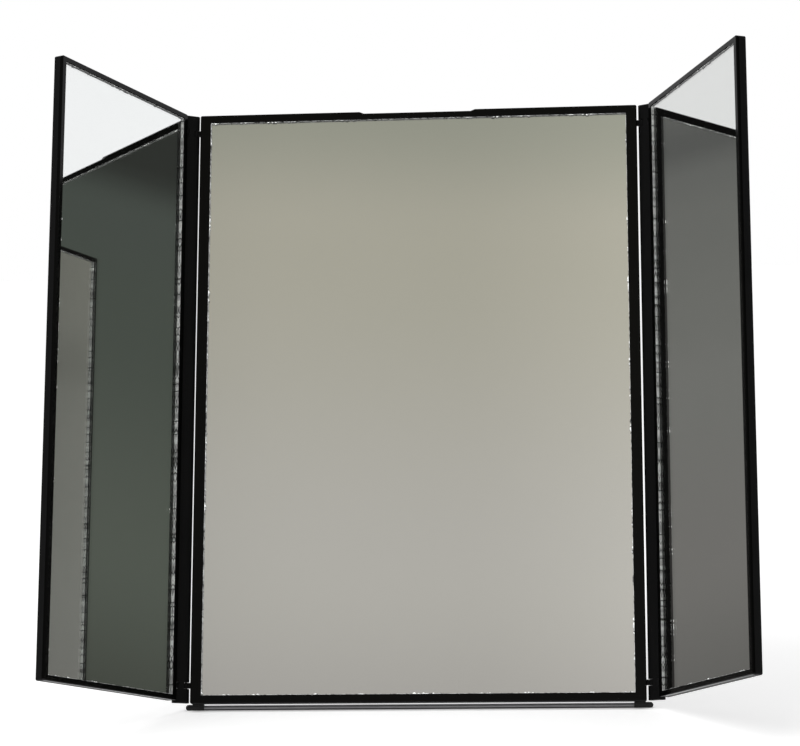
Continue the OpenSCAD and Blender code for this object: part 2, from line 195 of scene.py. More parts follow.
def calculate(nodes, links, operation, first, second):
    """Math node over a socket and a second socket or number."""
    node = nodes.new("ShaderNodeMath")
    node.operation = operation
    links.new(first, node.inputs[0])
    if isinstance(second, float):
        node.inputs[1].default_value = second
    else:
        links.new(second, node.inputs[1])
    return node.outputs[0]


def map_range(nodes, links, source, start, end, low=0.0, high=1.0, smooth=False):
    """Low before start, high after end, a straight or smooth step between. End may be the smaller."""
    node = nodes.new("ShaderNodeMapRange")
    node.interpolation_type = "SMOOTHSTEP" if smooth else "LINEAR"
    for socket, value in (("From Min", start), ("From Max", end), ("To Min", low), ("To Max", high)):
        if isinstance(value, float):
            node.inputs[socket].default_value = value
        else:
            links.new(value, node.inputs[socket])
    links.new(source, node.inputs["Value"])
    return node.outputs["Result"]


def blend_colours(nodes, links, share, first, second):
    """First colour where share is 0, second where it is 1. Either may be a plain colour."""
    node = nodes.new("ShaderNodeMix")
    node.data_type = "RGBA"
    links.new(share, node.inputs["Factor"])
    for socket, colour in (("A", first), ("B", second)):
        if isinstance(colour, tuple):
            node.inputs[socket].default_value = (*colour, 1)
        else:
            links.new(colour, node.inputs[socket])
    return node.outputs["Result"]


print("faces meet smoothly up to, degrees:", round(math.degrees(SMOOTH_ANGLE)))

# %% [markdown]
# Two effects come back in most of the finishes. Moulded plastic has a fine grain that follows the
# tool it was made in, and every handled surface is a little uneven in its gloss. Each effect is
# built once as a node group with named inputs, and each material places it with its own values.
# The patterns read Object coordinates, which are metres here, so a grain of half a millimetre is
# half a millimetre on every piece.

# %% Shared effects: grain and uneven gloss
FINER = 2.7


def new_group(name, inputs, output):
    """Empty node group with one float output. The inputs map names to defaults, and None is a vector."""
    group = bpy.data.node_groups.new(name, "ShaderNodeTree")
    for socket, default in inputs.items():
        kind = "NodeSocketVector" if default is None else "NodeSocketFloat"
        made = group.interface.new_socket(socket, in_out="INPUT", socket_type=kind)
        if default is not None:
            made.default_value = default
    group.interface.new_socket(output, in_out="OUTPUT", socket_type="NodeSocketFloat")
    nodes = group.nodes
    return group, nodes, group.links, nodes.new("NodeGroupInput"), nodes.new("NodeGroupOutput")


def grain_group():
    """Height of a moulded grain: cells for the pits plus a finer noise, each at its own scale."""
    group, nodes, links, given, result = new_group(
        "moulded_grain", {"Vector": None, "Scale": 1500.0, "Fine": 0.4}, "Height"
    )
    cells = nodes.new("ShaderNodeTexVoronoi")
    cells.feature = "SMOOTH_F1"
    fine = nodes.new("ShaderNodeTexNoise")
    fine.inputs["Detail"].default_value = 2.0
    finer = calculate(nodes, links, "MULTIPLY", given.outputs["Scale"], FINER)
    mix = nodes.new("ShaderNodeMix")
    for texture in (cells, fine):
        links.new(given.outputs["Vector"], texture.inputs["Vector"])
    links.new(given.outputs["Scale"], cells.inputs["Scale"])
    links.new(finer, fine.inputs["Scale"])
    links.new(given.outputs["Fine"], mix.inputs["Factor"])
    links.new(cells.outputs["Distance"], mix.inputs["A"])
    links.new(fine.outputs["Fac"], mix.inputs["B"])
    links.new(mix.outputs["Result"], result.inputs["Height"])
    return group


def uneven_group():
    """A value between Low and High that drifts over the surface, for gloss that is not even."""
    group, nodes, links, given, result = new_group(
        "uneven_gloss", {"Vector": None, "Scale": 40.0, "Low": 0.1, "High": 0.2}, "Value"
    )
    noise = nodes.new("ShaderNodeTexNoise")
    noise.inputs["Detail"].default_value = 4.0
    noise.inputs["Roughness"].default_value = 0.6
    links.new(given.outputs["Vector"], noise.inputs["Vector"])
    links.new(given.outputs["Scale"], noise.inputs["Scale"])
    # Most of the noise lies between 0.3 and 0.7
    low, high = given.outputs["Low"], given.outputs["High"]
    drift = map_range(nodes, links, noise.outputs["Fac"], 0.3, 0.7, low, high)
    links.new(drift, result.inputs["Value"])
    return group


def speck_group():
    """Mask of small round specks, 1 inside a speck: the distance to scattered points, cut at Size."""
    group, nodes, links, given, result = new_group(
        "specks", {"Vector": None, "Scale": 300.0, "Size": 0.1}, "Mask"
    )
    cells = nodes.new("ShaderNodeTexVoronoi")
    links.new(given.outputs["Vector"], cells.inputs["Vector"])
    links.new(given.outputs["Scale"], cells.inputs["Scale"])
    inside = calculate(nodes, links, "LESS_THAN", cells.outputs["Distance"], given.outputs["Size"])
    links.new(inside, result.inputs["Mask"])
    return group


GRAIN, UNEVEN, SPECKS = grain_group(), uneven_group(), speck_group()


def place_group(nodes, links, group, source, **values):
    """Places a group in a material, feeds its Vector from the source and sets its other inputs."""
    node = nodes.new("ShaderNodeGroup")
    node.node_tree = group
    links.new(source, node.inputs["Vector"])
    for socket, value in values.items():
        node.inputs[socket].default_value = value
    return node


def bump_from(nodes, links, height, bsdf, distance):
    """Bump node between a height and the shader's Normal, with its distance in metres."""
    bump = nodes.new("ShaderNodeBump")
    bump.inputs["Distance"].default_value = distance
    bump.inputs["Strength"].default_value = 1.0
    links.new(height, bump.inputs["Height"])
    links.new(bump.outputs["Normal"], bsdf.inputs["Normal"])


print("shared effects:", [g.name for g in (GRAIN, UNEVEN, SPECKS)])

# %% [markdown]
# The frames are black plastic from a polished mould. Such a surface is dark and mirrors the room
# faintly, more so where it is seen at a slant, which is the shader's own Fresnel. A very shallow
# orange peel keeps the reflections from being perfect, and a few specks of dust are lighter. The
# trays, links and brackets come from a grained mould, so they are duller and show the grain.

# %% Black plastics
PLASTIC_SHINE = 0.12
DUST = (0.07, 0.07, 0.068)


def plastic(name, colour, low, high, grain, depth, fine, dust):
    """Moulded plastic: base colour with dust specks, drifting roughness and a grained bump.

    The specular level is low, because the matt film on a handled plastic takes most of its shine.
    """
    material, nodes, links, bsdf = new_nodes(name)
    place = nodes.new("ShaderNodeTexCoord").outputs["Object"]
    gloss = place_group(nodes, links, UNEVEN, place, Scale=55.0, Low=low, High=high)
    links.new(gloss.outputs["Value"], bsdf.inputs["Roughness"])
    specks = place_group(nodes, links, SPECKS, place, Scale=260.0, Size=dust)
    tone = blend_colours(nodes, links, specks.outputs["Mask"], colour, DUST)
    links.new(tone, bsdf.inputs["Base Color"])
    bsdf.inputs["Specular IOR Level"].default_value = PLASTIC_SHINE
    pits = place_group(nodes, links, GRAIN, place, Scale=grain, Fine=fine)
    bump_from(nodes, links, pits.outputs["Height"], bsdf, depth)
    return material


gloss_black = plastic("gloss_black", (0.0018, 0.0018, 0.0017), low=0.08, high=0.16,
                      grain=420.0, depth=0.000004, fine=0.3, dust=0.012)
satin_black = plastic("satin_black", (0.0035, 0.0035, 0.0036), low=0.4, high=0.55,
                      grain=1700.0, depth=0.00003, fine=0.45, dust=0.02)
print("plastics:", gloss_black.name, satin_black.name)

# %% [markdown]
# A household mirror is a sheet of float glass with silver behind it. The eye sees two reflections,
# a faint one from the front of the glass and the strong one nearly two millimetres deeper. A metal
# surface alone would miss that depth, so the pane is a real slab of glass with a sheet of silver
# under it. Its ground edge is rough and pale grey, with small chips, and shows as a fine line
# where the glass is seen at a slant. The edge also gets a weak painted glow in place of light that
# runs inside the glass and comes out there, a painted glint on the chips that face the front, and
# painted shade on its edges along the top and bottom.

# %% Glass, silver and ground edge
# Strength of the painted glow on the ground edges
EDGE_PAINTED_GLOW = 0.25
EDGE_NOISE, EDGE_CELLS = 420.0, 190.0
EDGE_TONES = [(0.34, (0.42, 0.42, 0.42)), (0.62, (0.9, 0.91, 0.89))]
EDGE_BREAKS = [(0.015, (0.1, 0.1, 0.1)), (0.07, (1.0, 1.0, 1.0))]


def glass_material():
    """Clear float glass: full transmission and a trace of green."""
    material, nodes, links, bsdf = new_nodes("float_glass")
    place = nodes.new("ShaderNodeTexCoord").outputs["Object"]
    haze = place_group(nodes, links, UNEVEN, place, Scale=18.0, Low=0.0, High=0.006)
    links.new(haze.outputs["Value"], bsdf.inputs["Roughness"])
    bsdf.inputs["Base Color"].default_value = (0.985, 0.995, 0.988, 1)
    bsdf.inputs["Transmission Weight"].default_value = 1.0
    bsdf.inputs["IOR"].default_value = 1.52
    return material


def silver_material():
    """Silver behind glass: a metal whose colour drifts by less than the eye notices at once."""
    material, nodes, links, bsdf = new_nodes("silver_coat")
    place = nodes.new("ShaderNodeTexCoord").outputs["Object"]
    drift = place_group(nodes, links, UNEVEN, place, Scale=9.0, Low=0.0, High=1.0)
    tone = blend_colours(nodes, links, drift.outputs["Value"], (0.925, 0.935, 0.92), (0.945, 0.95, 0.94))
    links.new(tone, bsdf.inputs["Base Color"])
    bsdf.inputs["Metallic"].default_value = 1.0
    bsdf.inputs["Roughness"].default_value = 0.0
    return material


def ramp(nodes, links, source, stops):
    """Colour ramp over a value, with smooth steps between the given (position, colour) stops."""
    node = nodes.new("ShaderNodeValToRGB")
    node.color_ramp.interpolation = "EASE"
    elements = node.color_ramp.elements
    while len(elements) < len(stops):
        elements.new(0.5)
    for element, (position, colour) in zip(elements, stops):
        element.position, element.color = position, (*colour, 1)
    links.new(source, node.inputs["Fac"])
    return node.outputs["Color"]


def by_normal(nodes, links, axis, start, end, value):
    """1 where the normal's part along an axis is below start in size, value where it is above end."""
    facing = nodes.new("ShaderNodeSeparateXYZ")
    links.new(nodes.new("ShaderNodeTexCoord").outputs["Normal"], facing.inputs[0])
    size = nodes.new("ShaderNodeMath")
    size.operation = "ABSOLUTE"
    links.new(facing.outputs[axis], size.inputs[0])
    return map_range(nodes, links, size.outputs[0], start, end, 1.0, value)


def ground_edge_with_painted_light(name, ends, front):
    """Ground glass edge: rough and pale grey, uneven in tone, with dark breaks at the borders of cells.

    The tone is also put out as a painted glow. The edges along the top and bottom, with normals up
    or down, take their tone times ends, which is painted shade. The faces to the front, which are
    mostly chips, get a painted glint: they glow front times as much.
    """
    material, nodes, links, bsdf = new_nodes(name)
    place = nodes.new("ShaderNodeTexCoord").outputs["Object"]
    uneven = nodes.new("ShaderNodeTexNoise")
    uneven.inputs["Scale"].default_value = EDGE_NOISE
    uneven.inputs["Detail"].default_value = 2.0
    links.new(place, uneven.inputs["Vector"])
    cells = nodes.new("ShaderNodeTexVoronoi")
    cells.feature = "DISTANCE_TO_EDGE"
    cells.inputs["Scale"].default_value = EDGE_CELLS
    links.new(place, cells.inputs["Vector"])
    tones = [ramp(nodes, links, uneven.outputs["Fac"], EDGE_TONES),
             ramp(nodes, links, cells.outputs["Distance"], EDGE_BREAKS)]
    # Painted shade: the edges along the top and bottom are darker
    product = by_normal(nodes, links, "Z", 0.4, 0.6, ends)
    for tone in tones:
        both = nodes.new("ShaderNodeVectorMath")
        both.operation = "MULTIPLY"
        links.new(product, both.inputs[0])
        links.new(tone, both.inputs[1])
        product = both.outputs["Vector"]
    # The same tone is the colour of the painted glow
    for socket in ("Base Color", "Emission Color"):
        links.new(product, bsdf.inputs[socket])
    # Painted glint: the faces to the front glow front times as much
    facing = by_normal(nodes, links, "Y", 0.7, 0.9, front)
    links.new(calculate(nodes, links, "MULTIPLY", facing, EDGE_PAINTED_GLOW), bsdf.inputs["Emission Strength"])
    bsdf.inputs["Roughness"].default_value = 0.6
    return material


float_glass, silver_coat = glass_material(), silver_material()
# Painted light on both ground edges: ends sets the painted shade of the top and bottom edges, front the
# painted glint of the chips
centre_edge_painted_light = ground_edge_with_painted_light("ground_edge_centre", ends=0.25, front=2.6)
wing_edge_painted_light = ground_edge_with_painted_light("ground_edge_painted_light_wing", ends=0.12, front=1.0)
print("mirror materials:", [m.name for m in (float_glass, silver_coat, centre_edge_painted_light, wing_edge_painted_light)])

# %% [markdown]
# The wire, the pins and the screws are zinc plated steel, bright and a little uneven. The bar
# under the mirror is satin steel with a brushed look along its length. The sleeves and feet are
# rubber, and the mounting tape behind the glass is a pale foam.

# %% Metal, rubber and foam
LINE_TONE = 0.86
SOFT_DRIFT = 0.08


def metal(name, colour, low, high, stretch, depth):
    """Steel: metallic, with drifting roughness and fine lines, longer where stretch is below 1."""
    material, nodes, links, bsdf = new_nodes(name)
    place = nodes.new("ShaderNodeTexCoord").outputs["Object"]
    mapping = nodes.new("ShaderNodeMapping")
    mapping.inputs["Scale"].default_value = stretch
    links.new(place, mapping.inputs["Vector"])
    drift = place_group(nodes, links, UNEVEN, place, Scale=120.0, Low=low, High=high)
    links.new(drift.outputs["Value"], bsdf.inputs["Roughness"])
    lines = place_group(nodes, links, UNEVEN, mapping.outputs["Vector"], Scale=900.0, Low=0.0, High=1.0)
    darker = tuple(c * LINE_TONE for c in colour)
    tone = blend_colours(nodes, links, lines.outputs["Value"], darker, colour)
    links.new(tone, bsdf.inputs["Base Color"])
    bsdf.inputs["Metallic"].default_value = 1.0
    bump_from(nodes, links, lines.outputs["Value"], bsdf, depth)
    return material


def soft_matt(name, colour, high_tone, roughness, grain, depth):
    """Rubber or foam: a dull surface whose tone and height follow a grain."""
    material, nodes, links, bsdf = new_nodes(name)
    place = nodes.new("ShaderNodeTexCoord").outputs["Object"]
    pits = place_group(nodes, links, GRAIN, place, Scale=grain, Fine=0.5)
    tone = blend_colours(nodes, links, pits.outputs["Height"], colour, high_tone)
    links.new(tone, bsdf.inputs["Base Color"])
    low, high = roughness - SOFT_DRIFT, roughness + SOFT_DRIFT
    gloss = place_group(nodes, links, UNEVEN, place, Scale=90.0, Low=low, High=high)
    links.new(gloss.outputs["Value"], bsdf.inputs["Roughness"])
    bump_from(nodes, links, pits.outputs["Height"], bsdf, depth)
    return material


zinc = metal("zinc_plate", (0.66, 0.67, 0.69), low=0.18, high=0.3,
             stretch=(1.0, 1.0, 1.0), depth=0.000006)
wire_steel = metal("wire_steel", (0.68, 0.68, 0.7), low=0.14, high=0.26,
                   stretch=(1.0, 1.0, 0.08), depth=0.000005)
bar_steel = metal("bar_steel", (0.36, 0.36, 0.37), low=0.46, high=0.58,
                  stretch=(0.05, 1.0, 1.0), depth=0.000006)
rubber = soft_matt("black_rubber", (0.008, 0.008, 0.008), (0.016, 0.016, 0.016),
                   roughness=0.72, grain=1100.0, depth=0.00004)
foam = soft_matt("pale_foam", (0.55, 0.55, 0.5), (0.72, 0.72, 0.67),
                 roughness=0.85, grain=900.0, depth=0.0001)
print("metals and soft materials:", [m.name for m in (zinc, wire_steel, bar_steel, rubber, foam)])

# %% [markdown]
# A panel is a set of rounded rectangles, one inside another: its outer edge, the opening for the
# glass and the sunk field on its back. A frame or a tray is then a walk over these rectangles. At
# each step the ring has a base rectangle, a distance outwards or inwards from it, and a depth.
# Rounded edges are short walks along a quarter circle. Next to each of them lies a ring only a
# hair away on the flat side, which keeps the shading of the flat face flat.

# %% Rings of a panel
CORNER_STEPS = 6
EDGE_STEPS = 5
HOLD = 0.02


def rectangle_loop(rect, grow, top_points):
    """Rounded rectangle, grown: each corner's centre plus (radius + grow) times cos and sin.

    rect is (x0, z0, x1, z1, radius). top_points are extra X places along the top side.
    """
    x0, z0, x1, z1, r = rect
    turn = np.linspace(0, math.pi / 2, CORNER_STEPS + 1)
    corners = [(x1 - r, z0 + r), (x1 - r, z1 - r), (x0 + r, z1 - r), (x0 + r, z0 + r)]
    r += grow
    arcs = []
    for i, (cx, cz) in enumerate(corners):
        a = turn + (i - 1) * math.pi / 2
        arcs.append(np.stack([cx + r * np.cos(a), cz + r * np.sin(a)], axis=-1))
    top = np.array([(x, z1 + grow) for x in top_points], float).reshape(-1, 2)
    return np.concatenate([arcs[0], arcs[1], top, arcs[2], arcs[3]])


def edge_rows(rect, offset, depth, radius, start, end):
    """Rows of a rounded edge: offset + radius cos a, depth + radius sin a, from start to end degrees."""
    a = np.radians(np.linspace(start, end, EDGE_STEPS + 1))
    return [(rect, offset + radius * math.cos(t), depth + radius * math.sin(t)) for t in a]


def panel_surface(rows, notched=None, wrap_rows=False):
    """Surface through rows of (rectangle, grow, depth), with the notch in a notched rectangle's top."""
    rings = []
    for rect, grow, depth in rows:
        loop = rectangle_loop(rect, grow, notch_points if notched else ())
        if rect == notched:
            top = loop[:, 1] > (rect[1] + rect[3]) / 2
            loop[:, 1] -= np.where(top, notch_drop(loop[:, 0]), 0.0)
        rings.append(np.stack([loop[:, 0], np.full(len(loop), depth), loop[:, 1]], axis=-1))
    return lofted(np.array(rings), wrap_rows)


# Sizes of one panel: width, height, side bar and end bar of its frame
PANELS = {"centre": (CENTRE_W, CENTRE_H, 4.8, 3.6), "wing": (WING_W, WING_H, 2.7, 2.4)}
CORNER_R, OPENING_R = 0.8, 0.25
FIELD_BORDER, FIELD_R, FIELD_D = 9.0, 3.0, 0.4


def panel_rects(kind):
    """Outer edge, glass opening and back field of a panel, each as (x0, z0, x1, z1, radius)."""
    w, h, sb, eb = PANELS[kind]
    b = FIELD_BORDER
    return (0, 0, w, h, CORNER_R), (sb, eb, w - sb, h - eb, OPENING_R), (b, b, w - b, h - b, FIELD_R)


# The finger notch in the top edge of the centre panel
NOTCH_W, NOTCH_D, NOTCH_SLOPE = 51.0, 0.8, 2.0
notch_ends = [(NOTCH_W + NOTCH_SLOPE) / 2, (NOTCH_W - NOTCH_SLOPE) / 2]


def notch_drop(x):
    """Depth of the notch at X: full between its ends, and a straight slope at each end."""
    return np.interp(np.abs(x - CENTRE_W / 2), notch_ends[::-1], [NOTCH_D, 0.0])


notch_points = [CENTRE_W / 2 + e for e in (*notch_ends, -notch_ends[1], -notch_ends[0])]
print("rectangles of a wing:", panel_rects("wing"))

# %% [markdown]
# The front frame is the part of the plastic that faces the camera. It is flat, 3.6 to 4.8
# millimetres wide in the middle panel and narrower in the wings, with a small round on each long
# edge. A walk round its section that ends where it began gives one closed ring-shaped surface,
# with no lid anywhere. Where it meets the tray both have a hair of a chamfer, which makes the
# thin dark seam that a joint between two mouldings always shows.

# %% Front frames
FRONT_ROUND, LIP_ROUND, SEAM = 0.4, 0.22, 0.12


def bezel_surface(kind):
    """Closed walk round the section of a front frame: outer wall, front face, lip and back."""
    outer, opening, _ = panel_rects(kind)
    rows = [(outer, -SEAM, BEZEL_T), (outer, 0.0, BEZEL_T - SEAM), (outer, 0.0, FRONT_ROUND + HOLD)]
    rows += edge_rows(outer, -FRONT_ROUND, FRONT_ROUND, FRONT_ROUND, 0, -90)
    rows += [(outer, -FRONT_ROUND - HOLD, 0.0), (opening, LIP_ROUND + HOLD, 0.0)]
    rows += edge_rows(opening, LIP_ROUND, LIP_ROUND, LIP_ROUND, -90, -180)
    rows += [(opening, 0.0, LIP_ROUND + HOLD), (opening, 0.0, BEZEL_T)]
    return panel_surface(rows, outer if kind == "centre" else None, wrap_rows=True)


piece("front_frame_centre", bezel_surface("centre"), CENTRE, "centre_panel", gloss_black,
      ["centre_bezel"])
for side, place in WINGS.items():
    piece(f"front_frame_{side}", bezel_surface("wing"), place, f"{side}_wing", gloss_black,
          [f"{side}_wing_bezel"])
print("front frames:", 3)

# %% [markdown]
# The back of each panel is a tray. Its walk starts on the floor under the glass, climbs over the
# rim, goes down the outer wall and ends on the sunk field of the back. The hinge ears are small
# tongues that stand out of its long edge. Each is a round nose with a flat arm, and the pin goes
# through the nose, where the solid ear hides it.

# %% Back trays with their hinge ears
BACK_ROUND, FIELD_ROUND = 0.5, 0.18
EAR_H, EAR_T, KNUCKLE_R, EAR_ROUND, EAR_SINK, EAR_IN = 2.4, 1.8, 1.45, 0.12, 0.3, 6.9
NOSE_POINTS, HALFWAY = 25, 0.3
EAR_Z = (EAR_IN, CENTRE_H - EAR_IN - EAR_H)


def tray_surface(kind):
    """Walk from the floor of the tray over its rim to the field on its back; both ends are flat lids."""
    outer, opening, field = panel_rects(kind)
    rows = [(opening, 0.0, PANEL_T - FLOOR_T), (opening, 0.0, BEZEL_T), (outer, -SEAM, BEZEL_T)]
    rows += [(outer, 0.0, BEZEL_T + SEAM), (outer, 0.0, PANEL_T - BACK_ROUND - HOLD)]
    rows += edge_rows(outer, -BACK_ROUND, PANEL_T - BACK_ROUND, BACK_ROUND, 0, 90)
    rows += [(outer, -BACK_ROUND - HOLD, PANEL_T), (field, FIELD_ROUND + HOLD, PANEL_T)]
    rows += edge_rows(field, FIELD_ROUND, PANEL_T - FIELD_ROUND, FIELD_ROUND, 90, 180)
    rows += [(field, 0.0, PANEL_T - FIELD_D), (field, -HOLD, PANEL_T - FIELD_D)]
    return panel_surface(rows, outer if kind == "centre" else None)


def ear_surface(x, reach, z):
    """A hinge ear about the pin at X: an arc of the knuckle's radius, and the arm's corners at reach.

    The arc is on the far side from the panel. The round at the ear's two ends draws the outline in.
    """
    away = -math.copysign(1.0, reach)
    open_angle = math.pi - math.asin(EAR_T / 2 / KNUCKLE_R)
    nose = np.linspace(-open_angle, open_angle, NOSE_POINTS)
    outline = np.concatenate([
        np.stack([away * KNUCKLE_R * np.cos(nose), KNUCKLE_R * np.sin(nose)], axis=-1),
        [[reach, EAR_T / 2], [reach, -EAR_T / 2]],
    ])
    height = EAR_ROUND * np.array([0.0, HALFWAY, 1.0])
    shrink = 1 - EAR_ROUND * np.array([1.0, HALFWAY, 0.0]) / KNUCKLE_R
    levels = np.concatenate([z + height, z + EAR_H - height[::-1]])
    scales = np.concatenate([shrink, shrink[::-1]])[:, None]
    across = x + outline[:, 0] * scales
    back = PIN_Y + outline[:, 1] * scales
    return lofted(np.stack([across, back, np.broadcast_to(levels[:, None], across.shape)], axis=-1))


def centre_ears():
    """The four ears of the centre panel, drawn from its left edge as X = 0."""
    left, right = (-PIN_REACH, PIN_REACH + EAR_SINK), (CENTRE_W + PIN_REACH, -PIN_REACH - EAR_SINK)
    return [ear_surface(x, reach, z) for x, reach in (left, right) for z in EAR_Z]


centre_tray = joined(tray_surface("centre"), *centre_ears())
piece("back_tray_centre", centre_tray, CENTRE, "centre_panel", satin_black,
      ["centre_shell"])
wing_ears = [ear_surface(-PIN_REACH, PIN_REACH + EAR_SINK, z - WING_LIFT) for z in EAR_Z]
wing_tray = joined(tray_surface("wing"), *wing_ears)
for side, place in WINGS.items():
    piece(f"back_tray_{side}", wing_tray, place, f"{side}_wing", satin_black,
          [f"{side}_wing_shell"])
print("back trays:", 3)

# %% [markdown]
# Each mirror is built of three pieces that lie in each other: the slab of glass, the silver just
# inside its back face, and the ground edge, a thin band round its side walls. The band reaches a
# few hundredths of a millimetre into the slab, so a ray inside the glass meets ground glass and
# not a polished wall. Its front corner is a fine line with small chips, as an edge ground on a
# belt has, and the places of the chips come from seeded random numbers.

# %% Mirror panes
GLASS_GAP, GLASS_FRONT, GLASS_BACK, GLASS_CORNER = 0.15, 0.4, 2.2, 0.05
SILVER_DEPTH, SILVER_COVER, BAND_IN, BAND_OUT = 0.06, 0.01, 0.04, 0.04
RIM_STEP, ARRIS, EDGE_PROUD = 0.2, 0.03, 0.012
CHIP_SPACING, CHIPS_TOGETHER, CHIP_SPREAD = 15.0, 4, 1.6
CHIP_WIDTHS, CHIP_DEPTHS = (0.2, 0.6), (0.3, 1.0)


def slab_surface(rect, grow, front, back):
    """Plain slab between two depths: a rectangle at the front and one at the back, each with its lid."""
    return panel_surface([(rect, grow, front), (rect, grow, back)])


def rim_path(rect):
    """Points about one step apart round a rectangle, with the outward direction, as (x, z, nx, nz).

    At a corner the direction is the sum of those of its two sides.
    """
    x0, z0, x1, z1 = rect[:4]
    corners = np.array([(x1, z0), (x1, z1), (x0, z1), (x0, z0)], float)
    outwards = np.array([(1, 0), (0, 1), (-1, 0), (0, -1)], float)
    sides = []
    for i in range(4):
        a, b = corners[i], corners[(i + 1) % 4]
        count = int(np.linalg.norm(b - a) / RIM_STEP)
        t = np.linspace(0, 1, count, endpoint=False)[:, None]
        normals = np.tile(outwards[i], (count, 1))
        normals[0] += outwards[i - 1]
        sides.append(np.hstack([a + (b - a) * t, normals]))
    return np.concatenate(sides)


def chips(count, seed):
    """Depth of the chips along the rim, in small groups, as a grinding belt leaves them.

    Each is half an ellipse, d sqrt(1 - (s - m)^2 / w^2), and the deepest counts.
    """
    rng = np.random.default_rng(seed)
    length = count * RIM_STEP
    groups = rng.uniform(0, length, int(length / CHIP_SPACING))
    middles = np.repeat(groups, CHIPS_TOGETHER)
    middles = middles + rng.normal(0, CHIP_SPREAD, len(middles))
    widths = rng.uniform(*CHIP_WIDTHS, len(middles))
    deep = widths * rng.uniform(*CHIP_DEPTHS, len(middles))
    away = np.abs(np.arange(count)[:, None] * RIM_STEP - middles % length)
    away = np.minimum(away, length - away)
    return (deep * np.sqrt(np.clip(1 - (away / widths) ** 2, 0, None))).max(axis=1)


def edge_band_surface(rect, seed):
    """Ground band: a closed section carried round the rim. A chip moves its front inner corner in."""
    path = rim_path(rect)
    arris = ARRIS + chips(len(path), seed)
    flat = np.ones(len(path))
    front, deep = GLASS_FRONT - EDGE_PROUD, GLASS_BACK - SILVER_DEPTH / 2
    section = [(-arris, front * flat), (BAND_OUT * flat, front * flat), (BAND_OUT * flat, deep * flat),
               (-BAND_IN * flat, deep * flat), (-BAND_IN * flat, GLASS_FRONT + 0.8 * arris)]
    x, z, nx, nz = path.T
    rings = [np.column_stack([x + nx * grow, y, z + nz * grow]) for grow, y in section]
    return lofted(np.array(rings), wrap_rows=True)


def mirror(name, kind, place, body, node, edge, seed):
    """The three pieces of one pane, all in place of the CAD glass."""
    w, h, sb, eb = PANELS[kind]
    g = GLASS_GAP
    rect = (sb + g, eb + g, w - sb - g, h - eb - g, GLASS_CORNER)
    pane = slab_surface(rect, 0.0, GLASS_FRONT, GLASS_BACK)
    sheet = slab_surface(rect, -BAND_IN / 2, GLASS_BACK - SILVER_DEPTH, GLASS_BACK - SILVER_COVER)
    piece(f"pane_{name}", pane, place, body, float_glass, [node])
    piece(f"silver_{name}", sheet, place, body, silver_coat, [node])
    band = edge_band_surface(rect, seed)
    piece(f"ground_edge_{name}", band, place, body, edge, [node])


mirror("centre", "centre", CENTRE, "centre_panel", "centre_glass", centre_edge_painted_light, 11)
for seed, (side, place) in enumerate(WINGS.items()):
    mirror(side, "wing", place, f"{side}_wing", f"{side}_wing_glass", wing_edge_painted_light, 21 + seed)
print("mirror panes:", 3, "thickness, mm:", round(GLASS_BACK - GLASS_FRONT, 2))

# %% [markdown]
# Rods and wires are a circle carried along a path. Every path here lies in the plane of X and Z,
# so the circle needs no twisting: at each point it is spanned by the plane's own normal and by the
# direction in the plane at right angles to the path. Both ends are rounded.

# %% Tubes along a path
NORMAL = np.array([0.0, 1.0, 0.0])
END_STEPS = 4


def tube_surface(path, radius, sides, end_round):
    """Circle carried along a path in the plane of X and Z: path + r (cos a n + sin a (t x n)).

    n is the normal and t the path's direction. At both ends r falls over a quarter circle.
    """
    tangent = np.gradient(path, axis=0)
    tangent /= np.linalg.norm(tangent, axis=1, keepdims=True)
    a = np.linspace(0, 2 * math.pi, sides, endpoint=False)
    q = np.linspace(0, math.pi / 2, END_STEPS + 1)
    inset, shrink = end_round * (1 - np.sin(q)), end_round * (1 - np.cos(q))
    centres = np.concatenate([path[0] + np.outer(shrink, tangent[0]), path[1:-1],
                              path[-1] - np.outer(shrink[::-1], tangent[-1])])
    r = np.broadcast_to(radius, len(path)).astype(float)
    radii = np.concatenate([r[0] - inset, r[1:-1], r[-1] - inset[::-1]])
    across = np.cross(tangent, NORMAL)
    first, last = np.repeat(across[:1], len(q), 0), np.repeat(across[-1:], len(q), 0)
    across = np.concatenate([first, across[1:-1], last])
    circle = np.cos(a)[None, :, None] * NORMAL + np.sin(a)[None, :, None] * across[:, None, :]
    return lofted(centres[:, None, :] + radii[:, None, None] * circle)


rod = tube_surface(np.linspace((0, 0, 0), (10, 0, 0), 5), 1.0, sides=8, end_round=0.1)
print("a short rod of 8 sides:", len(rod[0]), "points,", len(rod[1]), "faces")


# %% [markdown]
# The stand is one wire: a stub in each bracket, a bend, a leg, a bend and the bar on the table.
# It turns in the brackets, and a stop on each bracket holds it where the mirror leans back. Two
# rubber sleeves on its bar keep it from sliding, worn flat where they rest on the table.

# %% Wire stand and sleeves
PIVOT_Y, PIVOT_Z, STAND_SWING, STAND_LEN = 10.0, 184.0, 30.6, 181.964
STAND_W, BEND_R, BEND_STEPS, WIRE_R, STUB_X = 176.0, 5.0, 12, 1.5, 73.0
SLEEVE_R, SLEEVE_LEN, SLEEVE_END, RIB_DEPTH, RIB_PITCH = 2.3, 18.0, 82.0, 0.08, 3.0
ON_STAND = ON_PANEL @ moved(0, PIVOT_Y, PIVOT_Z) @ turned("X", STAND_SWING)


def arc(cx, cz, start, end):
    """Bend of the wire about (cx, cz) from start to end degrees: centre + radius (cos a, sin a)."""
    a = np.radians(np.linspace(start, end, BEND_STEPS + 1))
    return np.stack([cx + BEND_R * np.cos(a), np.zeros(len(a)), cz + BEND_R * np.sin(a)], axis=-1)


def straight(a, b, count):
    """Evenly spaced points between a and b, without a and b themselves: a (1 - t) + b t."""
    t = np.linspace(0, 1, count + 2)[1:-1, None]
    return np.asarray(a, float) * (1 - t) + np.asarray(b, float) * t


